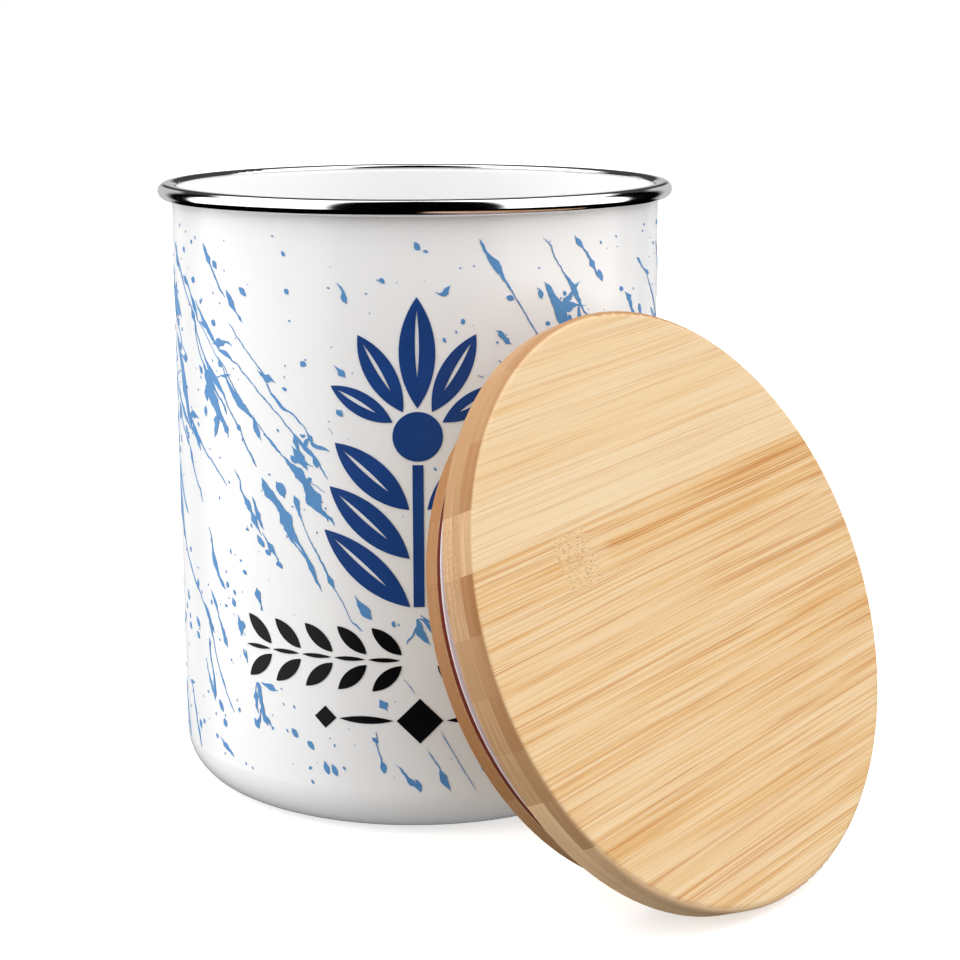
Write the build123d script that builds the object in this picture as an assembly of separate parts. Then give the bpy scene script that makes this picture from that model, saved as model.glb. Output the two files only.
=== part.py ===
from build123d import *
import math
import os
import random

# A round enamelled steel storage tin with a bamboo plug lid taken off and leaning against it.
# Millimetres. The tin stands on Z = 0 around the Z axis and its decorated front faces -Y.
# A place on the wall is given by its turn from -Y towards +X and its height above the table.

# Drawn steel body
body_r = 52.5           # outside of the straight wall
body_h = 131.0          # table to the top of the rim
wall = 1.0              # steel with its enamel
corner_r = 10.0         # outside radius between wall and base
foot_w = 4.5            # width of the ring that the tin stands on
base_rise = 1.6         # the middle of the base is drawn up by this much
base_slope = 4.0        # width of the step from the foot up to the middle

# Rolled edge and the steel band crimped over it
rim_out = 3.0           # how far the finished rim stands out past the wall
rim_h = 3.3             # height of the finished rim
band_t = 0.3            # sheet thickness of the band
band_play = 0.02        # between band and rolled edge
curl_r = 1.5            # outside radius where the wall starts to roll outwards

# Bamboo lid, turned from one laminated board
flange_r = 58.5
flange_t = 7.2
plug_play = 0.5         # radial, between plug and mouth
plug_h = 12.7
face_round = 1.4        # edge round of the face
back_round = 0.8        # edge round of the flange's underside
plug_round = 1.0        # edge round of the plug's end

# Silicone seal and the groove it is stretched into
groove_top = 3.0        # below the flange
groove_h = 6.3
groove_depth = 3.0
seal_play = 0.1         # above, below and behind the seal
seal_web = 1.3          # radial thickness between its fins
fin_t = 1.1
fin_bite = 0.4          # how far the fins stand past the mouth's radius before they are squeezed
fin_end_gap = 0.7       # from a fin to the seal's end

# How the lid leans
lean = 23.25            # its face is tipped back from upright
face_turn = 46.8        # the way its face looks
stand_turn = 34.55      # where its middle stands
lean_gap = 0.2          # between plug and wall

# Print on the wall
ink_t = 0.12
print_low = 10.0
print_high = 124.0

# Navy sprig
sprig_low = 49.5
sprig_high = 112.0
stem_w = 2.2
leaf_l = 23.0
leaf_pairs = 3
leaf_pitch = 10.0       # from one pair up to the next
leaf_angle = 42.0
leaf_taper = 0.07       # each pair is shorter than the one below by this share of leaf_l
vein_w = 0.8
vein_share = 0.62       # length of the open vein as a share of its leaf
vein_shift = 0.08       # its start from the stalk end, as the same share
cup_r = 5.0             # round cup that the petals fan out from
petal_l = 22.0
petal_w = 7.2
petal_spread = 30.0     # from one petal to the next
petal_share = 0.8       # size of a petal as a share of its neighbour towards the middle
side_petals = 2         # on each side of the middle one
ink_gap = 0.7           # white line kept between neighbouring shapes

# Black garland and the smaller divider below it
garland_z = 38.3
garland_l = 88.0
garland_leaf_l = 8.2
garland_leaf_w = 3.0
garland_pitch = 7.2
garland_line = 0.9
divider_z = 25.5
divider_l = 51.0
divider_h = 9.5
divider_line = 1.6

# Light blue ink splashes in slanting lanes all round the wall
splash_slope = 57.0
splash_veer = 8.0       # how far a single mark turns from that slope
lane_pitch = 13.0
splash_short = 8.0
splash_long = 30.0
splash_thin = 1.0
splash_thick = 4.0
splash_gap = 5.4
splash_margin = 2.0
splash_belly = 0.7      # share of a mark's thickness on its upper side
splash_seed = 7

mouth_r = body_r - wall
rim_r = body_r + rim_out
plug_r = mouth_r - plug_play
groove_r = plug_r - groove_depth
leaf_w = leaf_pitch * math.cos(math.radians(leaf_angle)) - ink_gap


def arc_point(centre, radius, degrees):
    angle = math.radians(degrees)
    return (centre[0] + radius * math.cos(angle), centre[1] + radius * math.sin(angle))


def arc(centre, radius, start, end):
    """An arc in the section plane, by its angles in degrees from the radial direction."""
    middle = (start + end) / 2
    return ThreePointArc(
        arc_point(centre, radius, start),
        arc_point(centre, radius, middle),
        arc_point(centre, radius, end),
    )


def turned(edges):
    """Revolve a closed section, drawn as radius and height, around the tin's axis."""
    section = make_face(Curve() + edges)
    return revolve(Plane.XZ * section, axis=Axis.Z)


def unit_turns(count):
    """Angles in radians, evenly spaced over one turn."""
    return [2 * math.pi * k / count for k in range(count)]


def through(*points):
    """Straight edges from point to point."""
    return [Line(a, b) for a, b in zip(points, points[1:])]


# The band is a roll of the finished rim's height, and the body's edge fills it
roll_r = rim_h / 2
roll_centre = (rim_r - roll_r, body_h - roll_r)
curl_centre = (mouth_r + curl_r, body_h - band_t - curl_r)


def tin_body():
    """Deep drawn pot: raised base, standing ring, round corner, plain wall and rolled edge."""
    foot_out = body_r - corner_r
    foot_in = foot_out - foot_w
    rise_in = foot_in - base_slope
    corner = (foot_out, corner_r)
    roll_out = roll_r - band_t
    roll_in = roll_out - wall
    outside = [
        *through((0, base_rise), (rise_in, base_rise), (foot_in, 0), (foot_out, 0)),
        arc(corner, corner_r, -90, 0),
        Line((body_r, corner_r), (body_r, curl_centre[1])),
    ]
    underside_of_roll = [
        arc(curl_centre, curl_r - wall, 180, 90),
        Line((curl_centre[0], curl_centre[1] + curl_r - wall), arc_point(roll_centre, roll_in, 90)),
        arc(roll_centre, roll_in, 90, -90),
        Line(arc_point(roll_centre, roll_in, -90), arc_point(roll_centre, roll_out, -90)),
    ]
    top_of_roll = [
        arc(roll_centre, roll_out, -90, 90),
        Line(arc_point(roll_centre, roll_out, 90), (curl_centre[0], curl_centre[1] + curl_r)),
        arc(curl_centre, curl_r, 90, 180),
    ]
    inside = [
        Line((mouth_r, curl_centre[1]), (mouth_r, corner_r)),
        arc(corner, corner_r - wall, 0, -90),
        *through((foot_out, wall), (foot_in, wall), (rise_in, base_rise + wall), (0, base_rise + wall)),
        Line((0, base_rise + wall), (0, base_rise)),
    ]
    return turned(outside + underside_of_roll + top_of_roll + inside)


def rim_band():
    """Steel strip crimped over the rolled edge, flush with the wall inside the mouth."""
    inner_r = curl_r + band_play
    outer_r = curl_r + band_t
    start = 180 - math.degrees(math.acos(curl_r / outer_r))
    roll_in = roll_r - band_t + band_play
    tuck = body_r + band_play
    outer = [
        arc(curl_centre, outer_r, start, 90),
        Line((curl_centre[0], body_h), (roll_centre[0], body_h)),
        arc(roll_centre, roll_r, 90, -90),
        Line(arc_point(roll_centre, roll_r, -90), (tuck, body_h - rim_h)),
    ]
    inner = [
        Line((tuck, body_h - rim_h), (tuck, roll_centre[1] - roll_in)),
        Line((tuck, roll_centre[1] - roll_in), arc_point(roll_centre, roll_in, -90)),
        arc(roll_centre, roll_in, -90, 90),
        Line(arc_point(roll_centre, roll_in, 90), (curl_centre[0], curl_centre[1] + inner_r)),
        arc(curl_centre, inner_r, 90, start),
        Line(arc_point(curl_centre, inner_r, start), arc_point(curl_centre, outer_r, start)),
    ]
    return turned(outer + inner)


def lid_axes():
    """Unit vectors across the lid's face, up along it and out of it."""
    tip = math.radians(lean)
    turn = math.radians(face_turn)
    across = Vector(math.cos(turn), math.sin(turn), 0)
    out = Vector(math.cos(tip) * math.sin(turn), -math.cos(tip) * math.cos(turn), math.sin(tip))
    return across, out.cross(across), out


def stand_off():
    """How far from the tin's axis the middle of the face is, with the plug's end at the wall."""
    across, up, out = lid_axes()
    stand = math.radians(stand_turn)
    way = Vector(math.sin(stand), -math.cos(stand), 0)
    edge_middle = out * (plug_round - flange_t - plug_h)
    edge_r = plug_r - plug_round
    edge = [across * (edge_r * math.cos(k)) + up * (edge_r * math.sin(k)) for k in unit_turns(720)]

    def nearest(distance):
        middle = way * distance + edge_middle
        return min(math.hypot(middle.X + point.X, middle.Y + point.Y) for point in edge)

    near, far = body_r, body_r + 3 * flange_r
    while far - near > 0.001:
        middle = (near + far) / 2
        if nearest(middle) < body_r + lean_gap + plug_round:
            near = middle
        else:
            far = middle
    return far


def lid_place():
    """The leaning lid's own frame: origin in the middle of its face, Z out of the face."""
    across, _, out = lid_axes()
    tip = math.radians(lean)
    stand = math.radians(stand_turn)
    reach = stand_off()
    edge_r = flange_r - back_round
    edge_depth = flange_t - back_round
    height = edge_r * math.cos(tip) + edge_depth * math.sin(tip) + back_round
    origin = (reach * math.sin(stand), -reach * math.cos(stand), height)
    return Plane(origin=origin, x_dir=across, z_dir=out)


def lid_board():
    """Flange and plug in one piece, with the groove for the seal turned into the plug."""
    plug_end = flange_t + plug_h
    groove_from = flange_t + groove_top
    groove_to = groove_from + groove_h
    profile = [
        *through((0, -plug_end), (plug_r - plug_round, -plug_end)),
        arc((plug_r - plug_round, plug_round - plug_end), plug_round, -90, 0),
        *through(
            (plug_r, plug_round - plug_end),
            (plug_r, -groove_to),
            (groove_r, -groove_to),
            (groove_r, -groove_from),
            (plug_r, -groove_from),
            (plug_r, -flange_t),
            (flange_r - back_round, -flange_t),
        ),
        arc((flange_r - back_round, back_round - flange_t), back_round, -90, 0),
        Line((flange_r, back_round - flange_t), (flange_r, -face_round)),
        arc((flange_r - face_round, -face_round), face_round, 0, 90),
        *through((flange_r - face_round, 0), (0, 0), (0, -plug_end)),
    ]
    return turned(profile)


def lid_seal():
    """Silicone ring in the groove: a web against its bottom and two fins with round tips."""
    high = -flange_t - groove_top - seal_play
    low = high - groove_h + 2 * seal_play
    back = groove_r + seal_play
    web = back + seal_web
    fin_centre = mouth_r + fin_bite - fin_t / 2
    fins = [high - fin_end_gap - fin_t / 2, low + fin_end_gap + fin_t / 2]
    ring = turned(through((back, low), (web, low), (web, high), (back, high), (back, low)))
    for z in fins:
        tip = (fin_centre, z)
        outline = [
            Line((back, z - fin_t / 2), (fin_centre, z - fin_t / 2)),
            arc(tip, fin_t / 2, -90, 90),
            *through((fin_centre, z + fin_t / 2), (back, z + fin_t / 2), (back, z - fin_t / 2)),
        ]
        ring += turned(outline)
    return ring


def almond(length, above, below):
    """A pointed shape along X between two arcs."""
    tip = length / 2
    upper = ThreePointArc((-tip, 0), (0, above), (tip, 0))
    lower = ThreePointArc((tip, 0), (0, -below), (-tip, 0))
    return make_face(Curve() + [upper, lower])


def polygon(*corners):
    return make_face(Curve() + through(*corners, corners[0]))


def lozenge(length, width):
    """A square on its point."""
    return polygon((length / 2, 0), (0, width / 2), (-length / 2, 0), (0, -width / 2))


def leaf(length, width, vein):
    """An almond with an open vein, its stalk end at the origin."""
    blade = almond(length, width / 2, width / 2)
    slot = Pos(length * vein_shift) * almond(length * vein_share, vein / 2, vein / 2)
    return Pos(length / 2) * (blade - slot)


def ink_skin():
    """The thin sleeve around the wall that all print is cut from."""
    height = print_high - print_low
    sleeve = Cylinder(body_r + ink_t, height) - Cylinder(body_r, height)
    return Pos(0, 0, print_low + height / 2) * sleeve


def on_wall(flat, turn, height, skin):
    """Lay a small flat drawing on the wall."""
    angle = math.radians(turn)
    plane = Plane(
        origin=(0, 0, height),
        x_dir=(math.cos(angle), math.sin(angle), 0),
        z_dir=(math.sin(angle), -math.cos(angle), 0),
    )
    return extrude(plane * flat, amount=body_r + wall) & skin


def arc_turn(distance):
    """Turn in degrees for a distance measured round the wall."""
    return math.degrees(distance / body_r)


def sprig_drawing():
    """A stem with pairs of veined leaves, and a cup with a fan of petals, as separate flat shapes."""
    foot = cup_r + ink_gap
    cup_z = sprig_high - sprig_low - petal_l - foot
    stem_l = cup_z - foot
    shapes = [Pos(0, stem_l / 2) * Rectangle(stem_w, stem_l), Pos(0, cup_z) * Circle(cup_r)]
    for pair in range(leaf_pairs):
        blade = leaf(leaf_l * (1 - leaf_taper * pair), leaf_w, vein_w)
        right = Pos(stem_w / 2 + ink_gap, leaf_pitch * pair) * Rot(0, 0, leaf_angle) * blade
        shapes += [right, mirror(right, Plane.YZ)]
    for k in range(side_petals + 1):
        size = petal_share**k
        petal = leaf(petal_l * size, petal_w * size, vein_w)
        right = Pos(0, cup_z) * Rot(0, 0, 90 - petal_spread * k) * Pos(foot) * petal
        shapes += [right, mirror(right, Plane.YZ)] if k else [right]
    return shapes


def print_sprig(skin):
    return [on_wall(shape, 0, sprig_low, skin) for shape in sprig_drawing()]


def print_border(skin):
    """A garland of paired leaves that point away from the middle, and a divider below it."""
    marks = []
    pairs = int((garland_l / 2 - garland_leaf_l) / garland_pitch) + 1
    half_line = garland_line / 2
    lift = half_line + ink_gap
    blade = almond(garland_leaf_l, garland_leaf_w / 2, garland_leaf_w / 2)
    upper = Pos(0, lift) * Rot(0, 0, leaf_angle) * Pos(garland_leaf_l / 2) * blade
    rung = Pos(garland_pitch / 2) * almond(garland_pitch - ink_gap, half_line, half_line)
    for k in range(pairs):
        for side in (1, -1):
            turn = side * arc_turn(garland_pitch * (k + 0.5))
            for drawing in (upper, mirror(upper, Plane.XZ), rung):
                drawn = drawing if side > 0 else mirror(drawing, Plane.YZ)
                marks.append(on_wall(drawn, turn, garland_z, skin))
    marks.append(on_wall(lozenge(divider_h, divider_h), 0, divider_z, skin))
    bar_l = (divider_l - divider_h) / 2 - divider_h
    small = divider_h / 2
    for side in (1, -1):
        bar_at = side * (divider_h / 2 + ink_gap + bar_l / 2)
        end_at = side * (divider_h / 2 + 2 * ink_gap + bar_l + small / 2)
        bar = almond(bar_l, divider_line / 2, divider_line / 2)
        end = lozenge(small, small)
        marks.append(on_wall(bar, arc_turn(bar_at), divider_z, skin))
        marks.append(on_wall(end, arc_turn(end_at), divider_z, skin))
    return marks


def is_clear(distance, height, half_l):
    """Whether a splash centred here stays off the sprig, the garland and the divider."""
    around = 2 * math.pi * body_r
    across = abs((distance + around / 2) % around - around / 2)
    reach_x = half_l * math.cos(math.radians(splash_slope)) + splash_margin
    reach_z = half_l * math.sin(math.radians(splash_slope)) + splash_margin
    sprig_half = (stem_w + leaf_w) / 2 + leaf_l * math.cos(math.radians(leaf_angle))
    kept = [
        (sprig_half, sprig_low, sprig_high),
        (garland_l / 2, garland_z - garland_leaf_l, garland_z + garland_leaf_l),
        (divider_l / 2, divider_z - divider_h / 2, divider_z + divider_h / 2),
    ]
    return not any(
        across < half_w + reach_x and low - reach_z < height < high + reach_z for half_w, low, high in kept
    )


def mostly_low(dice, low, high):
    """A random size between the two, nearer the low one more often than not."""
    return low + (high - low) * dice.random() ** 2


def print_splashes(skin):
    """Brush marks from upper left to lower right, in lanes so that none meets another."""
    dice = random.Random(splash_seed)
    slope = math.radians(splash_slope)
    lanes = round(2 * math.pi * body_r / lane_pitch)
    run = (print_high - print_low) / math.sin(slope)
    marks = []
    for lane in range(lanes):
        along = dice.uniform(0, splash_gap)
        while along < run - splash_short:
            length = min(mostly_low(dice, splash_short, splash_long), run - along)
            thick = mostly_low(dice, splash_thin, splash_thick)
            middle = along + length / 2
            distance = lane * lane_pitch + middle * math.cos(slope)
            height = print_high - middle * math.sin(slope)
            along += length + splash_gap * dice.uniform(0.5, 2.0)
            if is_clear(distance, height, length / 2):
                veer = dice.uniform(-splash_veer, splash_veer)
                blade = almond(length - splash_thin, thick * splash_belly, thick * (1 - splash_belly))
                flat = Rot(0, 0, veer - splash_slope) * blade
                marks.append(on_wall(flat, arc_turn(distance), height, skin))
    return marks


def write(name, shape):
    export_step(shape, f"parts/{name}.step")


os.makedirs("parts", exist_ok=True)
skin = ink_skin()
place = lid_place()
write("tin_body", tin_body())
write("rim_band", rim_band())
write("lid_board", place * lid_board())
write("lid_seal", place * lid_seal())
write("print_sprig", Compound(print_sprig(skin)))
write("print_border", Compound(print_border(skin)))
write("print_splashes", Compound(print_splashes(skin)))
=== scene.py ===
import math
import random
import bpy
import numpy as np
from mathutils import Matrix, Vector
from mathutils.bvhtree import BVHTree


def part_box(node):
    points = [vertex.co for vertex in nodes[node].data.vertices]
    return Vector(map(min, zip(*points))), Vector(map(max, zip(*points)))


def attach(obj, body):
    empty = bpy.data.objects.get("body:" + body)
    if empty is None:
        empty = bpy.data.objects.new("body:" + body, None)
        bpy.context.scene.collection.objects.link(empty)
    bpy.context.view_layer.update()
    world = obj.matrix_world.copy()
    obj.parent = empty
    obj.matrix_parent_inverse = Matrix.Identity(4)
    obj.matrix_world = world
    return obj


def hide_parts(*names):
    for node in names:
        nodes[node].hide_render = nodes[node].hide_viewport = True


# Looks of an enamelled storage tin with its bamboo lid leaning against it: materials on the CAD pieces,
# a finned seal, ink splashes on the wall, and a studio of white soft boxes.

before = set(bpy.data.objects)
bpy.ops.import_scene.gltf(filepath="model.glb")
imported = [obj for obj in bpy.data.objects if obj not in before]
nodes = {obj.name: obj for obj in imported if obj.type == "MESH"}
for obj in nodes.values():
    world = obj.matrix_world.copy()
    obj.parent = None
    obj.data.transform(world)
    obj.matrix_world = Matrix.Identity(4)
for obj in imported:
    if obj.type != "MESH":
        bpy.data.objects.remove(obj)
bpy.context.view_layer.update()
mm = 0.001

# Camera: it looks down a little on the tin's front, from straight ahead of its axis
camera_distance = 0.4735
camera_height = 0.1648
camera_yaw = 0.0292     # radians, as pitch and roll
camera_pitch = 0.2090
camera_roll = -0.0024
camera_lens = 81.32     # millimetres, on a sensor of sensor_width
sensor_width = 36.0

# How the lid leans, as the CAD model has it
lean = math.radians(23.25)
face_turn = math.radians(46.8)


# Node wiring for materials, the studio's sky and the print's geometry


class Wire:
    """A node's output that takes part in Python expressions."""

    def __init__(self, net, socket):
        self.net = net
        self.socket = socket

    def maths(self, operation, left, right):
        return self.net.node("ShaderNodeMath", {"operation": operation}, {0: left, 1: right})

    def __add__(self, other):
        return self.maths("ADD", self, other)

    def __radd__(self, other):
        return self.maths("ADD", other, self)

    def __sub__(self, other):
        return self.maths("SUBTRACT", self, other)

    def __rsub__(self, other):
        return self.maths("SUBTRACT", other, self)

    def __mul__(self, other):
        return self.maths("MULTIPLY", self, other)

    def __truediv__(self, other):
        return self.maths("DIVIDE", self, other)

    def __rtruediv__(self, other):
        return self.maths("DIVIDE", other, self)

    def __neg__(self):
        return self.maths("MULTIPLY", self, -1.0)

    def call(self, operation, other=0.0):
        return self.maths(operation, self, other)


class Net:
    """A node tree that is filled by calls."""

    def __init__(self, tree):
        self.tree = tree

    def node(self, kind, settings=None, sockets=None, output=0):
        """Add a node: its settings first, then the values or links of its sockets."""
        made = self.tree.nodes.new(kind)
        for key, value in (settings or {}).items():
            if key == "stops":
                self.set_stops(made.color_ramp, value)
            elif key == "interpolation":
                made.color_ramp.interpolation = value
            else:
                setattr(made, key, value)
        for key, value in (sockets or {}).items():
            self.feed(made.inputs[key], value)
        return Wire(self, made.outputs[output])

    def set_stops(self, ramp, stops):
        while len(ramp.elements) < len(stops):
            ramp.elements.new(1.0)
        for element, (position, color) in zip(ramp.elements, stops):
            element.position = position
            element.color = (*color, 1.0)

    def feed(self, socket, value):
        if isinstance(value, Wire):
            self.tree.links.new(value.socket, socket)
        else:
            socket.default_value = value

    def axes(self, vector):
        """The three parts of a vector."""
        return [self.node("ShaderNodeSeparateXYZ", sockets={0: vector}, output=k) for k in range(3)]

    def vector(self, x, y, z):
        return self.node("ShaderNodeCombineXYZ", sockets={0: x, 1: y, 2: z})

    def vectors(self, operation, first, second, output=0):
        sockets = {0: first, 1: second}
        return self.node("ShaderNodeVectorMath", {"operation": operation}, sockets, output=output)

    def mask(self, value, low, high):
        """0 below low, 1 above high, smooth between them."""
        sockets = {"Value": value, "From Min": low, "From Max": high}
        return self.node("ShaderNodeMapRange", {"interpolation_type": "SMOOTHSTEP"}, sockets)

    def band(self, value, low, high, soft):
        """1 between low and high, fading out over soft at both ends."""
        return self.mask(value, low - soft, low) * (1.0 - self.mask(value, high, high + soft))


class Finish(Net):
    """One material's node tree around a Principled BSDF."""

    def __init__(self, name, base_color, roughness, **constants):
        self.material = bpy.data.materials.new(name)
        self.material.use_nodes = True
        super().__init__(self.material.node_tree)
        self.surface = self.tree.nodes["Principled BSDF"]
        self.surface.inputs["Base Color"].default_value = (*base_color, 1.0)
        self.surface.inputs["Roughness"].default_value = roughness
        for socket, value in constants.items():
            self.surface.inputs[socket.replace("_", " ")].default_value = value
        self.material.diffuse_color = (*base_color, 1.0)

    def set(self, socket, value):
        self.feed(self.surface.inputs[socket], value)

    def place(self):
        return self.node("ShaderNodeTexCoord", output="Object")

    def noise(self, vector, scale=1.0, detail=2.0, roughness=0.5):
        sockets = {"Vector": vector, "Scale": scale, "Detail": detail, "Roughness": roughness}
        return self.node("ShaderNodeTexNoise", sockets=sockets, output="Fac")

    def ramp(self, value, *stops, interpolation="LINEAR"):
        settings = {"stops": stops, "interpolation": interpolation}
        return self.node("ShaderNodeValToRGB", settings, {"Fac": value})

    def mix(self, amount, first, second):
        sockets = {0: amount, 6: first, 7: second}
        return self.node("ShaderNodeMix", {"data_type": "RGBA"}, sockets, output=2)

    def tint(self, amount, color, tone):
        """The colour with so much of a fixed tone in it."""
        return self.mix(amount, color, (*tone, 1.0))

    def bump(self, height, strength, distance):
        sockets = {"Height": height, "Strength": strength, "Distance": distance}
        self.set("Normal", self.node("ShaderNodeBump", sockets=sockets))


# Enamel, steel, inks and silicone: colours, and the scales of their patterns in waves per metre

enamel_white = (0.86, 0.86, 0.86)
enamel_cool = (0.850, 0.852, 0.856)
enamel_warm = (0.872, 0.872, 0.871)
steel_grey = (0.78, 0.78, 0.79)
steel_dull = (0.76, 0.76, 0.77)
steel_bright = (0.84, 0.84, 0.85)
blue_color = (0.098, 0.270, 0.545)
navy_color = (0.0125, 0.052, 0.215)
black_color = (0.004, 0.004, 0.005)
silicone_milk = (0.66, 0.58, 0.61)
cloud_scale = 28.0      # faint shades of the enamel
gloss_scale = 90.0      # changes of its gloss
wave_scale = 60.0       # its unevenness, and the fine peel over it
peel_scale = 420.0
ink_scale = 160.0
drawn_scale = 9000.0    # drawing lines of the steel strip
skin_scale = 300.0      # satin skin of the silicone


def enamel():
    """Glossy white glass enamel with a faint orange-peel surface."""
    s = Finish("white_enamel", enamel_white, 0.16, Specular_IOR_Level=0.32)
    place = s.place()
    cloud = s.noise(place, cloud_scale, detail=3.0)
    s.set("Base Color", s.ramp(cloud, (0.30, enamel_cool), (0.70, enamel_warm)))
    s.set("Roughness", 0.14 + s.noise(place, gloss_scale) * 0.08)
    peel = s.noise(place, peel_scale, detail=1.0)
    s.bump(peel + s.noise(place, wave_scale) * 2.0, strength=0.05, distance=0.2 * mm)
    return s.material


def rim_steel():
    """Polished strip with fine drawing lines that run round it."""
    s = Finish("polished_steel", steel_grey, 0.08, Metallic=1.0)
    x, y, z = s.axes(s.place())
    radius = (x * x + y * y).call("SQRT")
    angle = y.call("ARCTAN2", x)
    lines = s.noise(s.vector(radius * drawn_scale, z * drawn_scale, angle * 3.0))
    s.set("Roughness", 0.05 + lines * 0.07)
    s.set("Base Color", s.ramp(lines, (0.25, steel_dull), (0.75, steel_bright)))
    s.bump(lines, strength=0.03, distance=0.04 * mm)
    return s.material


def ink(name, color, spread):
    """Print fired into the enamel, a little uneven in depth, with a satin gloss."""
    s = Finish(name, color, 0.3, Specular_IOR_Level=0.16)
    place = s.place()
    deep = tuple(channel * (1.0 - spread) for channel in color)
    thin = tuple(min(1.0, channel * (1.0 + spread)) for channel in color)
    s.set("Base Color", s.ramp(s.noise(place, ink_scale, detail=4.0), (0.3, deep), (0.7, thin)))
    s.set("Roughness", 0.26 + s.noise(place, gloss_scale) * 0.1)
    return s.material


# Bamboo: plies, strips and fibres, in millimetres on the lid

grain_turn = math.radians(5.5)
strip_w = 10.4
strip_edge = 0.9        # where a joint between two strips lies, across the fibres
board_half = 58.5
top_ply = 2.65          # depths of the two glue lines below the face
lower_ply = 7.25
ply_shift = 31.0        # by how much the pattern of each ply is moved along the fibres
wander = 0.9            # how far fibres wander to the side
node_from = -31.0       # growth node, along its strip
node_to = -22.5
node_strip_low = strip_edge + strip_w
node_strip_high = node_strip_low + strip_w
groove_r = 50.85        # within this radius and between these depths the groove's floor and walls are painted dark: burnt-looking wood that is also painted shade
groove_from = 10.15
groove_to = 16.55

# How warm each strip is, from the lowest on the lid's face to the highest
face_tones = (0.52, 0.46, 0.56, 0.50, 0.60, 0.55, 0.46, 0.62, 0.16, 0.30, 0.24, 0.20)
edge_tones = (0.00, 0.08, 0.12, 0.46, 0.56, 0.76, 0.70, 0.98, 0.36, 0.85, 0.62, 0.72)
inner_tones = (0.00, 0.00, 0.08, 0.12, 0.40, 0.46, 0.56, 0.46, 0.38, 0.56, 0.60, 0.52)
lip_tone = 0.55         # added on the plug's end, past the groove

pale_bamboo = (0.705, 0.540, 0.335)
cream_bamboo = (0.685, 0.485, 0.265)
tan_bamboo = (0.622, 0.376, 0.150)
deep_bamboo = (0.480, 0.200, 0.052)
# Colours of the cut edges: their own tones, darkened in part as painted shade on the edge
edge_pale = (0.790, 0.535, 0.310)
edge_tan = (0.425, 0.248, 0.120)
edge_deep = (0.335, 0.155, 0.058)
node_dash = (0.33, 0.195, 0.09)
# Dark red-brown of the groove: burnt-looking wood that also serves as painted shade in the groove
burnt_and_shaded_wood = (0.26, 0.050, 0.025)

# Waves per millimetre of each pattern, along the fibres and across them
wander_waves = (0.012, 0.05)
broad_waves = (0.012, 0.30)
streak_waves = (0.013, 1.05)
fibre_waves = (0.026, 4.2)
line_waves = (0.014, 2.0)
hair_waves = (0.024, 5.0)
shine_waves = (0.018, 2.8)

# How strongly each pattern warms or cools the face, and how much of each mark on it shows
broad_weight = 0.9
streak_weight = 1.1
fibre_weight = 0.8
line_share = 0.54
hair_share = 0.55
shine_share = 0.6
glue_share = 0.20
dash_share = 0.7
upper_calm = 0.50       # the strips over the growth node's have so much less of lines and hairs


def lid_frame():
    """The lid's own axes and the middle of its face, found from its CAD node."""
    across = Vector((math.cos(face_turn), math.sin(face_turn), 0.0))
    tip = math.cos(lean)
    out = Vector((tip * math.sin(face_turn), -tip * math.cos(face_turn), math.sin(lean)))
    up = out.cross(across)
    points = np.array([v.co for v in nodes["lid_board"].data.vertices])
    middle = Vector()
    for axis in (across, up):
        reach = points @ np.array(axis)
        middle += axis * float(reach.min() + reach.max()) / 2
    middle += out * float((points @ np.array(out)).max())
    return across, up, out, middle


lid_across, lid_up, lid_out, lid_middle = lid_frame()
lid_grain = lid_across * math.cos(grain_turn) + lid_up * math.sin(grain_turn)
lid_side = lid_out.cross(lid_grain)


def strip_tone(s, lane, tones):
    """The tone of the strip at this place, out of a list that starts at the board's lowest strip."""
    first = math.floor(-board_half / strip_w)
    stops = [(k / len(tones), (tone, tone, tone)) for k, tone in enumerate(tones)]
    return s.ramp((lane - first) / len(tones), *stops, interpolation="CONSTANT")


class Board:
    """Where a point lies on the laminated board, and the patterns that its fibres make there."""

    def __init__(self, s):
        turn = Matrix((lid_grain, lid_side, lid_out)).transposed().to_euler()
        sockets = {"Vector": s.place(), "Location": lid_middle, "Rotation": turn, "Scale": (mm, mm, mm)}
        local = s.node("ShaderNodeMapping", {"vector_type": "TEXTURE"}, sockets)
        self.s = s
        self.along, self.side, self.depth = s.axes(local)
        self.below = -self.depth
        self.inner = self.below.call("GREATER_THAN", top_ply)
        ply = self.inner + self.below.call("GREATER_THAN", lower_ply)
        self.run = self.along + ply * ply_shift
        self.lane = (self.side - strip_edge) / strip_w
        self.own = self.lane.call("FLOOR") * 13.7 + ply * 5.1
        self.lie = self.side + self.drawn_noise(self.side, wander_waves, 0.0, 1.0, 0.5) * wander
        self.broad = self.pattern(broad_waves, self.below * 0.3)
        self.streak = self.pattern(streak_waves, self.below * 0.6)
        self.fibre = self.pattern(fibre_waves, self.below * 1.5, roughness=0.6)

    def drawn_noise(self, across, waves, shift, detail, roughness):
        """Noise drawn out along the fibres, of its own in each strip and ply."""
        place = self.s.vector(self.run * waves[0], across * waves[1], self.own + shift)
        return self.s.noise(place, detail=detail, roughness=roughness)

    def pattern(self, waves, shift, detail=2.0, roughness=0.5):
        """The same, where the fibres wander a little to the side."""
        return self.drawn_noise(self.lie, waves, shift, detail, roughness)

    def squarely(self, axis):
        """1 where the surface looks along an axis, 0 where it lies along it."""
        normal = self.s.node("ShaderNodeTexCoord", output="Normal")
        return self.s.vectors("DOT_PRODUCT", normal, tuple(axis), output="Value").call("ABSOLUTE")


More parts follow.
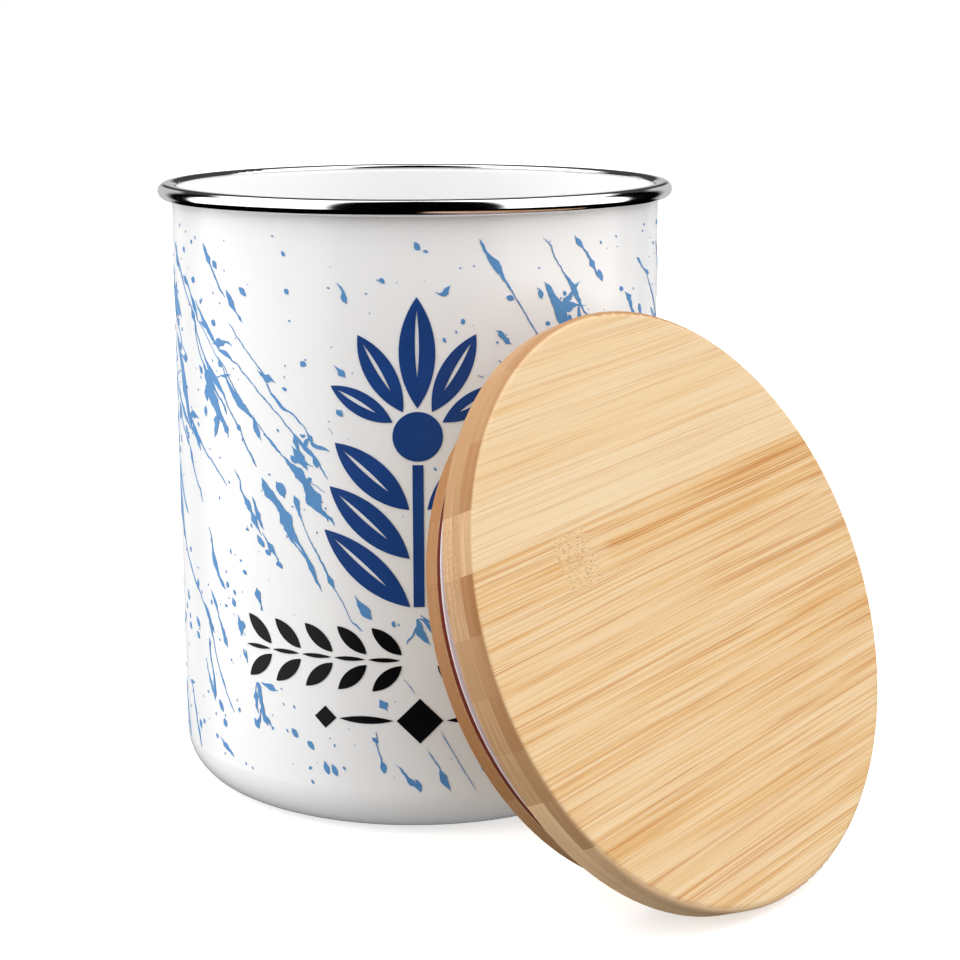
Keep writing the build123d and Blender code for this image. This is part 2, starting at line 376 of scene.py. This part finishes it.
def bamboo_face(s, board):
    """Colour of the face, and the relief that its fibres and its growth node leave."""
    upper = s.mask(board.side, node_strip_high - 0.1, node_strip_high + 0.1)
    in_node_strip = s.band(board.side, node_strip_low, node_strip_high, 0.15)
    busy = 1.0 - upper * upper_calm
    warm = strip_tone(s, board.lane, face_tones) + in_node_strip * s.mask(board.along, 0.0, 30.0) * 0.14
    warm = warm + (board.broad - 0.5) * broad_weight
    warm = warm + (board.streak - 0.5) * streak_weight * busy + (board.fibre - 0.5) * fibre_weight
    stops = ((0.05, pale_bamboo), (0.40, cream_bamboo), (0.78, tan_bamboo), (1.0, deep_bamboo))
    color = s.ramp(warm, *stops)

    line = s.mask(board.pattern(line_waves, 7.0), 0.555, 0.615) * s.mask(board.streak, 0.34, 0.52)
    color = s.tint(line * line_share * busy, color, deep_bamboo)
    hair = s.mask(board.pattern(hair_waves, 19.0, detail=1.0), 0.57, 0.65)
    color = s.tint(hair * hair_share * busy, color, deep_bamboo)
    shine = s.mask(board.pattern(shine_waves, 31.0, detail=1.0), 0.56, 0.65)
    color = s.tint(shine * shine_share, color, pale_bamboo)
    glue = s.mask((board.lane.call("FRACT") - 0.5).call("ABSOLUTE"), 0.486, 0.497)
    color = s.tint(glue * glue_share, color, deep_bamboo)

    in_node = in_node_strip * s.band(board.along, node_from, node_to, 1.2)
    color = s.tint(in_node * 0.5, color, cream_bamboo)
    after = in_node_strip * s.band(board.along, node_to + 0.5, node_to + 2.5, 4.5)
    color = s.tint(after * s.mask(board.broad, 0.25, 0.6) * 0.4, color, pale_bamboo)
    dash = s.mask(s.noise(s.vector(board.along, board.side * 4.4, 3.0), detail=1.0), 0.55, 0.64) * in_node
    color = s.tint(dash * dash_share, color, node_dash)
    return color, board.fibre * 0.6 + board.streak * 0.3 - line * 0.4 - dash * 0.3


def bamboo_edge(s, board):
    """Colour of the cut edges, darker partly in their own tones and partly as painted shade: the strips of
    each ply, with open pores where the fibres end.
    """
    cut = board.squarely(lid_grain)
    tone = strip_tone(s, board.lane, edge_tones) * (1.0 - board.inner)
    tone = tone + strip_tone(s, board.lane, inner_tones) * board.inner
    tone = tone + board.below.call("GREATER_THAN", groove_to) * lip_tone
    layer = s.noise(s.vector(board.run * 0.03, board.side * 0.05, board.below * 1.3))
    tone = tone + (layer - 0.5) * 0.5 + (board.fibre - 0.5) * 0.25 * (1.0 - cut)
    color = s.ramp(tone, (0.0, edge_pale), (0.5, edge_tan), (1.0, edge_deep))

    pores = s.noise(s.vector(board.side * 1.9, board.depth * 1.9, board.along * 0.4), roughness=0.7)
    grainy = s.band(board.side, node_strip_low + 4.0, node_strip_high + strip_w, 0.3)
    pores = s.mask(pores, 0.50, 0.64) * s.mask(cut, 0.5, 0.85) * (0.15 + grainy * board.inner * 0.85)
    color = s.tint(pores * 0.45, color, edge_deep)
    joint = s.band(board.below, top_ply - 0.05, top_ply + 0.05, 0.05)
    return s.tint(joint * 0.5, color, edge_deep)


def bamboo():
    """Laminated bamboo: strips of their own tint, long fibres, a growth node and cut edges whose darker
    colour is partly their own and partly painted shade.
    """
    s = Finish("bamboo_board", cream_bamboo, 0.48, Specular_IOR_Level=0.2)
    board = Board(s)
    face, relief = bamboo_face(s, board)
    on_edge = 1.0 - s.mask(board.squarely(lid_out), 0.76, 0.97)
    color = s.mix(on_edge, face, bamboo_edge(s, board))
    radius = (board.along * board.along + board.side * board.side).call("SQRT")
    # Painted shade in the groove: its floor and walls are tinted to a dark burnt-looking wood
    in_groove = s.band(board.below, groove_from, groove_to, 0.05)
    groove_shade = (1.0 - s.mask(radius, groove_r - 0.1, groove_r)) * in_groove
    s.set("Base Color", s.tint(groove_shade, color, burnt_and_shaded_wood))
    s.set("Roughness", 0.42 + board.fibre * 0.16)
    s.bump(relief, strength=0.12, distance=0.12 * mm)
    return s.material


def silicone():
    """Milky seal with a satin skin."""
    s = Finish("seal_silicone", silicone_milk, 0.34, Specular_IOR_Level=0.4)
    s.set("Roughness", 0.30 + s.noise(s.place(), skin_scale) * 0.12)
    return s.material


def dress(name, material):
    mesh = nodes[name].data
    mesh.materials.clear()
    mesh.materials.append(material)


dress("tin_body", enamel())
dress("rim_band", rim_steel())
dress("lid_board", bamboo())
dress("print_sprig", ink("navy_ink_print", navy_color, spread=0.08))
dress("print_border", ink("black_ink_print", black_color, spread=0.1))


# Seal: a ring turned round the lid's axis, from radius and depth below the face in millimetres

seal_back = 48.1
seal_web = 49.4
seal_reach = 51.65
seal_top = 10.35
seal_low = 16.35
seal_segments = 160
fin_depths = (11.5, 14.65)
fin_root = 0.55         # half the thickness of a fin where it leaves the ring, and at its tip
fin_tip = 0.24
fin_flare = 0.2         # rounding at its root and at its tip
fin_shoulder = 0.25
fin_nose = 0.2


def fin_profile(depth):
    """Outline of one fin, which tapers from the ring to a blunt tip."""
    shoulder = seal_web + fin_shoulder
    return [
        (seal_web, depth - fin_root - fin_flare),
        (shoulder, depth - fin_root),
        (seal_reach - fin_nose, depth - fin_tip),
        (seal_reach, depth - fin_tip / 2),
        (seal_reach, depth + fin_tip / 2),
        (seal_reach - fin_nose, depth + fin_tip),
        (shoulder, depth + fin_root),
        (seal_web, depth + fin_root + fin_flare),
    ]


def turned_mesh(name, profile, segments):
    """A closed ring made of a closed profile that goes round the lid's axis."""
    corners = []
    for k in range(segments):
        angle = 2 * math.pi * k / segments
        spoke = lid_across * math.cos(angle) + lid_up * math.sin(angle)
        corners += [lid_middle + (spoke * radius - lid_out * depth) * mm for radius, depth in profile]
    size = len(profile)
    faces = []
    for k in range(segments):
        here = k * size
        there = (k + 1) % segments * size
        for i in range(size):
            j = (i + 1) % size
            faces.append((here + i, here + j, there + j, there + i))
    mesh = bpy.data.meshes.new(name)
    mesh.from_pydata(corners, [], faces)
    mesh.shade_smooth()
    return mesh


def add_seal():
    profile = [(seal_back, seal_top), (seal_web, seal_top)]
    for depth in fin_depths:
        profile += fin_profile(depth)
    profile += [(seal_web, seal_low), (seal_back, seal_low)]
    mesh = turned_mesh("finned_seal", profile, seal_segments)
    mesh.materials.append(silicone())
    seal = bpy.data.objects.new("finned_seal", mesh)
    bpy.context.scene.collection.objects.link(seal)
    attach(seal, "root")
    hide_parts("lid_seal")


add_seal()


# Ink splashes: strokes are laid out flat in millimetres, as distance round the wall and height

splash_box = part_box("print_splashes")
skin_r = max(math.hypot(v.co.x, v.co.y) for v in nodes["print_splashes"].data.vertices)
ink_t = 0.12 * mm
wall_r = skin_r - ink_t
splash_low = splash_box[0].z / mm
splash_high = splash_box[1].z / mm
around = 2 * math.pi * wall_r / mm
splash_seed = 52
stroke_step = 0.45
clear_ink = 1.2         # white kept round the sprig and the border
thinnest = 0.05         # half width that no stroke goes below
arm_thin = 0.14         # half widths of the strokes that don't draw theirs from a range
smear_thin = 0.16
ragged_thin = 0.26
turn_fade = 0.88        # share of its turn that a stroke keeps from one step to the next
kink_chance = 0.045     # of a sharp turn at a step, and how sharp it is
kink_turn = (10.0, 32.0)
sway_pitch = 9.0
main_slope = 57.0       # how steeply the strokes run, and what changes that round the wall and near the top
slope_sway = 5.0
slope_pitch = 21.0
top_flatter = 15.0
flatter_from = 84.0
flatter_over = 30.0

# How many of each kind, and the ranges of their lengths, thinnest half widths and slopes in degrees
vein_count = 40
vein_length = (26.0, 86.0)
vein_thin = (0.05, 0.15)
cluster_count = 27
cluster_length = (13.0, 27.0)
short_count = 150
short_length = (3.5, 16.0)
short_thin = (0.08, 0.26)
ragged_count = 34
ragged_length = (2.5, 8.5)
ragged_slope = (-8.0, 22.0)
drop_count = 460
drop_length = (0.7, 3.0)
speck_count = 600
speck_length = (0.28, 0.75)
blot_length = (0.6, 2.4)

# Ranges of the half length and of the added half width of their swellings
vein_swell = ((1.5, 8.0), (0.10, 0.75))
arm_swell = ((0.8, 2.6), (0.1, 0.6))
cluster_swell = ((1.0, 2.6), (0.2, 0.8))
short_swell = ((0.8, 4.0), (0.12, 0.8))
ragged_swell = ((0.6, 1.4), (0.1, 0.5))


def wall_point(distance, height):
    turn = distance * mm / wall_r
    return Vector((wall_r * math.sin(turn), -wall_r * math.cos(turn), height * mm))


def print_trees():
    """Search trees over the sprig and the border."""
    trees = []
    for name in ("print_sprig", "print_border"):
        mesh = nodes[name].data
        corners = [v.co.copy() for v in mesh.vertices]
        trees.append(BVHTree.FromPolygons(corners, [tuple(p.vertices) for p in mesh.polygons]))
    return trees


other_print = print_trees()


def is_free(distance, height, half_w):
    if not splash_low + half_w < height < splash_high - half_w:
        return False
    point = wall_point(distance, height)
    reach = (clear_ink + half_w) * mm
    return all(tree.find_nearest(point, reach)[0] is None for tree in other_print)


def swelling(at, centre, half_l, peak):
    return peak * max(0.0, 1.0 - abs(at - centre) / half_l) ** 1.2


def draw_stroke(dice, start, slope, length, thin, swellings, restless, curl=0.0):
    """A line that wanders downhill from its start: points with their half width.

    Restless is the spread of its turns in degrees per step, and curl a steady turn per millimetre.
    """
    steps = max(4, round(length / stroke_step))
    step = length / steps
    x, z = start
    turn = 0.0
    sway = dice.uniform(-3.0, 3.0)
    points = []
    for k in range(steps + 1):
        at = k * step
        ends = min(1.0, at, length - at)
        half_w = thin + sum(swelling(at, *bump) for bump in swellings)
        points.append((x, z, max(thinnest, half_w * (0.2 + 0.8 * ends))))
        turn = turn * turn_fade + dice.gauss(0.0, restless) + curl * step
        if dice.random() < kink_chance:
            turn += dice.choice((-1, 1)) * dice.uniform(*kink_turn)
        angle = math.radians(slope + turn + sway * math.sin(at / sway_pitch))
        x += math.cos(angle) * step
        z -= math.sin(angle) * step
    return points


def free_runs(points):
    """The stretches of a stroke that stay clear of the other print and inside the printed band."""
    run = []
    for point in points + [None]:
        if point and is_free(*point):
            run.append(point)
            continue
        if len(run) > 3:
            last = len(run) - 1
            yield [(x, z, w * min(1.0, 0.2 + 0.25 * min(k, last - k))) for k, (x, z, w) in enumerate(run)]
        run = []


def local_slope(distance, height):
    """Strokes lie flatter in some places round the wall than in others, and near the top."""
    flatter = min(1.0, max(0.0, (height - flatter_from) / flatter_over))
    return main_slope + slope_sway * math.sin(distance / slope_pitch + 0.6) - top_flatter * flatter


def mostly_low(dice, span, power):
    """A random value within a span, more often near its low end."""
    low, high = span
    return low + (high - low) * dice.random() ** power


def random_swellings(dice, count, length, reach, peak):
    """Places along a stroke where it widens: distance, half length and added half width."""
    places = []
    for _ in range(count):
        at = dice.uniform(0.0, length)
        half_l = dice.uniform(*reach)
        places.append((at, half_l, mostly_low(dice, peak, 1.7)))
    return places


def add_vein(dice, strokes, slot):
    """A long thin streak, with a fainter one beside a part of it or a few arms now and then."""
    start = ((slot + dice.uniform(0.1, 0.9)) * around / vein_count, dice.uniform(48.0, splash_high + 6.0))
    length = dice.uniform(*vein_length)
    slope = local_slope(*start) + dice.uniform(-4.0, 4.0)
    swellings = random_swellings(dice, dice.randint(4, 8), length, *vein_swell)
    vein = draw_stroke(dice, start, slope, length, dice.uniform(*vein_thin), swellings, restless=1.7)
    strokes.append(vein)
    if dice.random() < 0.5:
        first = dice.randint(len(vein) // 5, len(vein) // 2)
        aside = dice.choice((-1, 1)) * dice.uniform(0.8, 1.8)
        span = min(len(vein) - first - 1, dice.randint(20, 60))
        twin = []
        for k in range(span):
            x, z, w = vein[first + k]
            open_by = aside * math.sin(math.pi * k / span) + dice.uniform(-0.04, 0.04)
            twin.append((x + open_by, z + 0.5 * open_by, max(0.10, 0.5 * w)))
        strokes.append(twin)
    for _ in range(dice.randint(0, 2)):
        root = vein[dice.randint(0, len(vein) - 1)]
        add_arm(dice, strokes, root, slope, dice.uniform(3.0, 9.0))


def add_arm(dice, strokes, root, slope, length):
    """A short side branch, which hooks back more often than not."""
    side = dice.choice((-1, 1))
    aslant = slope + side * dice.uniform(10.0, 70.0)
    swellings = random_swellings(dice, 3, length, *arm_swell)
    curl = -side * dice.uniform(0.0, 16.0)
    arm = draw_stroke(dice, root[:2], aslant, length, arm_thin, swellings, restless=7.0, curl=curl)
    strokes.append(arm)


def add_cluster(dice, strokes, slot):
    """A thick smear with thin arms that leave it at both sides, and blots round it."""
    x = (slot + dice.uniform(0.1, 0.9)) * around / cluster_count
    z = dice.uniform(34.0, splash_high - 3.0)
    length = dice.uniform(*cluster_length)
    slope = local_slope(x, z) + dice.uniform(-5.0, 5.0)
    body = [(length * dice.uniform(0.3, 0.6), length * 0.5, dice.uniform(0.55, 1.25))]
    body += random_swellings(dice, 5, length, *cluster_swell)
    smear = draw_stroke(dice, (x, z), slope, length, smear_thin, body, restless=5.0)
    strokes.append(smear)
    for _ in range(dice.randint(4, 7)):
        root = smear[dice.randint(len(smear) // 8, len(smear) * 7 // 8)]
        add_arm(dice, strokes, root, slope, dice.uniform(3.0, 10.0))
    for _ in range(dice.randint(6, 10)):
        near = smear[dice.randint(0, len(smear) - 1)]
        spot = (near[0] + dice.gauss(0.0, 3.5), near[1] + dice.gauss(0.0, 3.0))
        strokes.append(draw_drop(dice, spot, slope, blot_length))


def add_short_stroke(dice, strokes):
    start = (dice.uniform(0.0, around), dice.uniform(splash_low, splash_high))
    length = dice.uniform(*short_length)
    swellings = random_swellings(dice, dice.randint(2, 4), length, *short_swell)
    slope = local_slope(*start) + dice.uniform(-9.0, 9.0)
    thin = dice.uniform(*short_thin)
    strokes.append(draw_stroke(dice, start, slope, length, thin, swellings, restless=4.5))


def add_ragged_stroke(dice, strokes):
    """A short jagged mark that lies nearly level."""
    start = (dice.uniform(0.0, around), dice.uniform(splash_low, splash_high))
    length = dice.uniform(*ragged_length)
    swellings = random_swellings(dice, 4, length, *ragged_swell)
    slope = dice.uniform(*ragged_slope)
    strokes.append(draw_stroke(dice, start, slope, length, ragged_thin, swellings, restless=15.0))


def draw_drop(dice, spot, slope, lengths):
    """A small round-ended blot, longer down the slope than across it."""
    length = mostly_low(dice, lengths, 1.8)
    half_w = min(0.6, length * dice.uniform(0.22, 0.42))
    angle = math.radians(slope + dice.uniform(-30.0, 30.0))
    steps = 5 if length < 0.8 else 8
    drop = []
    for k in range(steps + 1):
        share = math.pi * k / steps
        at = -math.cos(share) * length / 2
        x = spot[0] + at * math.cos(angle)
        z = spot[1] - at * math.sin(angle)
        drop.append((x, z, half_w * max(0.12, math.sin(share))))
    return drop


def lay_out_splashes():
    dice = random.Random(splash_seed)
    strokes = []
    for slot in range(vein_count):
        add_vein(dice, strokes, slot)
    for slot in range(cluster_count):
        add_cluster(dice, strokes, slot)
    for _ in range(short_count):
        add_short_stroke(dice, strokes)
    for _ in range(ragged_count):
        add_ragged_stroke(dice, strokes)
    for count, lengths in ((drop_count, drop_length), (speck_count, speck_length)):
        for _ in range(count):
            spot = (dice.uniform(0.0, around), dice.uniform(splash_low, splash_high))
            strokes.append(draw_drop(dice, spot, local_slope(*spot), lengths))
    return [run for stroke in strokes for run in free_runs(stroke)]


def stroke_curve(name, strokes):
    """One flat curve object in metres, with each point's half width as its radius."""
    curve = bpy.data.curves.new(name, "CURVE")
    curve.dimensions = "3D"
    for points in strokes:
        spline = curve.splines.new("POLY")
        spline.points.add(len(points) - 1)
        for point, (x, z, w) in zip(spline.points, points):
            point.co = (x * mm, z * mm, 0.0, 1.0)
            point.radius = w * mm
    made = bpy.data.objects.new(name, curve)
    bpy.context.scene.collection.objects.link(made)
    return made


print_inputs = {
    "Wall radius": wall_r,
    "Ink foot": -0.06 * mm,
    "Ink top": 0.08 * mm,
    "Top spread": 0.035 * mm,
    "Ragged": 0.75 * mm,
    "Ragged pitch": 1.1 * mm,
    "Seed": 3.0,
}


def print_tree(material):
    """Strokes become ribbons with ragged edges, are wrapped round the wall and given their thickness."""
    tree = bpy.data.node_groups.new("wall_print", "GeometryNodeTree")
    tree.interface.new_socket("Strokes", in_out="INPUT", socket_type="NodeSocketGeometry")
    for name in print_inputs:
        tree.interface.new_socket(name, in_out="INPUT", socket_type="NodeSocketFloat")
    tree.interface.new_socket("Print", in_out="OUTPUT", socket_type="NodeSocketGeometry")
    net = Net(tree)
    group = tree.nodes.new("NodeGroupInput")
    given = {socket.name: Wire(net, socket) for socket in group.outputs if socket.name}

    flat = net.node("GeometryNodeSetCurveNormal", {"mode": "Z_UP"}, {"Curve": given["Strokes"]})
    profile = net.node("GeometryNodeCurvePrimitiveLine", sockets={"Start": (-1, 0, 0), "End": (1, 0, 0)})
    half_w = net.node("GeometryNodeInputRadius")
    sockets = {"Curve": flat, "Profile Curve": profile, "Scale": half_w}
    ribbon = net.node("GeometryNodeCurveToMesh", sockets=sockets)

    position = net.node("GeometryNodeInputPosition")
    sockets = {"Vector": position, "W": given["Seed"], "Scale": 1.0 / given["Ragged pitch"], "Detail": 2.0}
    noise = net.node("ShaderNodeTexNoise", {"noise_dimensions": "4D"}, sockets, output="Color")
    shift_x, shift_y, _ = net.axes(net.vectors("SUBTRACT", noise, (0.5, 0.5, 0.5)))
    amount = given["Ragged"]
    offset = net.vector(shift_x * amount, shift_y * amount, 0.0)
    ribbon = net.node("GeometryNodeSetPosition", sockets={"Geometry": ribbon, "Offset": offset})

    x, y, _ = net.axes(position)
    turn = x / given["Wall radius"]
    foot_r = given["Wall radius"] + given["Ink foot"]
    wrapped = net.vector(turn.call("SINE") * foot_r, -(turn.call("COSINE") * foot_r), y)
    foot = net.node("GeometryNodeSetPosition", sockets={"Geometry": ribbon, "Position": wrapped})
    outward = net.vectors("NORMALIZE", net.vectors("MULTIPLY", position, (1.0, 1.0, 0.0)), (0.0, 0.0, 0.0))
    facing = net.vectors("DOT_PRODUCT", net.node("GeometryNodeInputNormal"), outward, output="Value")
    inward = net.node("FunctionNodeCompare", {"operation": "LESS_THAN"}, {0: facing, 1: 0.0})
    foot = net.node("GeometryNodeFlipFaces", sockets={"Mesh": foot, "Selection": inward})

    island = net.node("GeometryNodeInputMeshIsland", output="Island Index")
    highest = given["Ink top"] + given["Top spread"]
    sockets = {2: given["Ink top"], 3: highest, "ID": island}
    top = net.node("FunctionNodeRandomValue", {"data_type": "FLOAT"}, sockets, output=1)
    height = top - given["Ink foot"]
    sockets = {"Mesh": foot, "Offset": outward, "Offset Scale": height, "Individual": False}
    raised = net.node("GeometryNodeExtrudeMesh", sockets=sockets)
    base = net.node("GeometryNodeFlipFaces", sockets={"Mesh": foot})
    join = tree.nodes.new("GeometryNodeJoinGeometry")
    for part in (raised, base):
        tree.links.new(part.socket, join.inputs[0])
    sockets = {"Geometry": Wire(net, join.outputs[0]), "Distance": 0.002 * mm}
    closed = net.node("GeometryNodeMergeByDistance", sockets=sockets)
    crisp = net.node("GeometryNodeSetShadeSmooth", sockets={"Geometry": closed, "Shade Smooth": False})
    real = net.node("GeometryNodeRealizeInstances", sockets={"Geometry": crisp})
    done = net.node("GeometryNodeSetMaterial", sockets={"Geometry": real, "Material": material})
    output = tree.nodes.new("NodeGroupOutput")
    tree.links.new(done.socket, output.inputs[0])
    return tree


def set_inputs(modifier, values):
    for item in modifier.node_group.interface.items_tree:
        if item.in_out == "INPUT" and item.name in values:
            modifier[item.identifier] = values[item.name]


def plain_mesh(source, name):
    """The evaluated object as a mesh object of its own; the source is removed."""
    graph = bpy.context.evaluated_depsgraph_get()
    mesh = bpy.data.meshes.new_from_object(source.evaluated_get(graph), depsgraph=graph)
    mesh.name = name
    made = bpy.data.objects.new(name, mesh)
    bpy.context.scene.collection.objects.link(made)
    bpy.data.objects.remove(source)
    return made


def add_splashes():
    source = stroke_curve("splash_strokes", lay_out_splashes())
    modifier = source.modifiers.new("wall_print", "NODES")
    modifier.node_group = print_tree(ink("blue_ink_print", blue_color, spread=0.05))
    set_inputs(modifier, print_inputs)
    splashes = plain_mesh(source, "ink_splashes")
    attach(splashes, "root")
    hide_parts("print_splashes")


add_splashes()


# Camera, light and floor


def add_camera():
    yaw, pitch, roll = camera_yaw, camera_pitch, camera_roll
    forward = Vector((math.sin(yaw) * math.cos(pitch), math.cos(yaw) * math.cos(pitch), -math.sin(pitch)))
    level = Vector((math.cos(yaw), -math.sin(yaw), 0.0))
    upward = level.cross(forward)
    right = level * math.cos(roll) + upward * math.sin(roll)
    top = upward * math.cos(roll) - level * math.sin(roll)
    data = bpy.data.cameras.new("camera")
    data.lens = camera_lens
    data.sensor_width = sensor_width
    data.clip_start = 0.01
    camera = bpy.data.objects.new("camera", data)
    turn = Matrix((right, top, -forward)).transposed().to_4x4()
    camera.matrix_world = Matrix.Translation((0.0, -camera_distance, camera_height)) @ turn
    bpy.context.scene.collection.objects.link(camera)
    bpy.context.scene.camera = camera


left_box = 2.02         # brightness of the soft boxes at both sides
right_box = 2.12
dim = 0.06              # brightness behind the tin, and low down behind it
grey_back = 0.62
strip_half = 0.28       # half width of the dark strip overhead, and how it widens forwards
strip_widen = 0.44
strip_close = 0.36      # how much faster it closes backwards
left_end = 0.46         # how far back each soft box reaches
right_end = 0.29
table_edge = (-0.36, -0.28)     # the studio fades to black between these heights of the view's direction


def add_studio():
    """White soft boxes at both sides, a dark strip from the front over the top to the back.

    The camera itself sees plain white behind the tin.
    """
    world = bpy.data.worlds.new("studio")
    world.use_nodes = True
    bpy.context.scene.world = world
    net = Net(world.node_tree)
    x, y, z = net.axes(net.node("ShaderNodeTexCoord", output="Generated"))
    level = (x * x + y * y).call("SQRT").call("MAXIMUM", 0.001)
    backward = y / level
    strip = strip_half - y * strip_widen - y.call("MAXIMUM", 0.0) * strip_close
    beside = net.mask(x.call("ABSOLUTE") - strip, -0.06, 0.06)
    right = net.mask(x, -0.1, 0.1)
    box_end = left_end - right * (left_end - right_end)
    side = net.mask(x.call("ABSOLUTE"), 0.20, 0.40)
    overhead = net.mask(z + side * 0.22, 0.80, 0.90)
    in_reach = 1.0 - net.mask(backward - box_end, -0.06, 0.06)
    box = beside * in_reach.call("MAXIMUM", overhead) * (left_box + right * (right_box - left_box))
    behind = net.mask(backward, 0.70, 0.84) * (1.0 - overhead)
    low_back = (1.0 - net.mask(z - side * 0.3, 0.06, 0.14)) * (grey_back - dim)
    glow = (box + behind * (dim + low_back)) * net.mask(z, *table_edge)
    seen = net.node("ShaderNodeLightPath", output="Is Camera Ray")
    strength = glow * (1.0 - seen) + seen
    background = world.node_tree.nodes["Background"]
    background.inputs["Color"].default_value = (1.0, 1.0, 1.0, 1.0)
    net.feed(background.inputs["Strength"], strength)


def add_sky(name, power, spread, turn, roll=0.0):
    """A wide soft light that leaves no mark in reflections; it shines down unless it is turned (degrees)."""
    data = bpy.data.lights.new(name, "SUN")
    data.energy = power
    data.angle = math.radians(spread)
    lamp = bpy.data.objects.new(name, data)
    lamp.rotation_euler = (math.radians(turn), math.radians(roll), 0.0)
    lamp.visible_glossy = False
    bpy.context.scene.collection.objects.link(lamp)


def add_mouth_light(power, size, height, spread):
    """A small lamp straight above the tin that fills its inside."""
    data = bpy.data.lights.new("mouth_light", "AREA")
    data.shape = "DISK"
    data.energy = power
    data.size = size
    data.spread = math.radians(spread)
    lamp = bpy.data.objects.new("mouth_light", data)
    lamp.location = (0.0, 0.0, height)
    lamp.visible_glossy = False
    lamp.visible_camera = False
    bpy.context.scene.collection.objects.link(lamp)


def add_floor():
    """A pale floor under the tin that neither lights it nor shows in its reflections."""
    half = 3.0
    low = -0.05 * mm
    mesh = bpy.data.meshes.new("floor")
    corners = [(-half, -half, low), (half, -half, low), (half, half, low), (-half, half, low)]
    mesh.from_pydata(corners, [], [(0, 1, 2, 3)])
    pale = Finish("pale_floor", (0.93, 0.93, 0.93), 0.8, Specular_IOR_Level=0.0)
    pale.surface.inputs["Emission Color"].default_value = (1.0, 1.0, 1.0, 1.0)
    pale.surface.inputs["Emission Strength"].default_value = 0.45
    mesh.materials.append(pale.material)
    floor = bpy.data.objects.new("floor", mesh)
    floor.visible_glossy = False
    floor.visible_diffuse = False
    floor.visible_shadow = False
    bpy.context.scene.collection.objects.link(floor)


bpy.context.scene.view_settings.view_transform = "Standard"
add_camera()
add_studio()
add_sky("overhead", power=1.85, spread=100.0, turn=22.0)
add_sky("table_glow", power=0.65, spread=165.0, turn=180.0)
add_sky("left_glow", power=0.42, spread=50.0, turn=15.0, roll=-100.0)
add_mouth_light(power=0.018, size=0.08, height=0.30, spread=60.0)
add_floor()
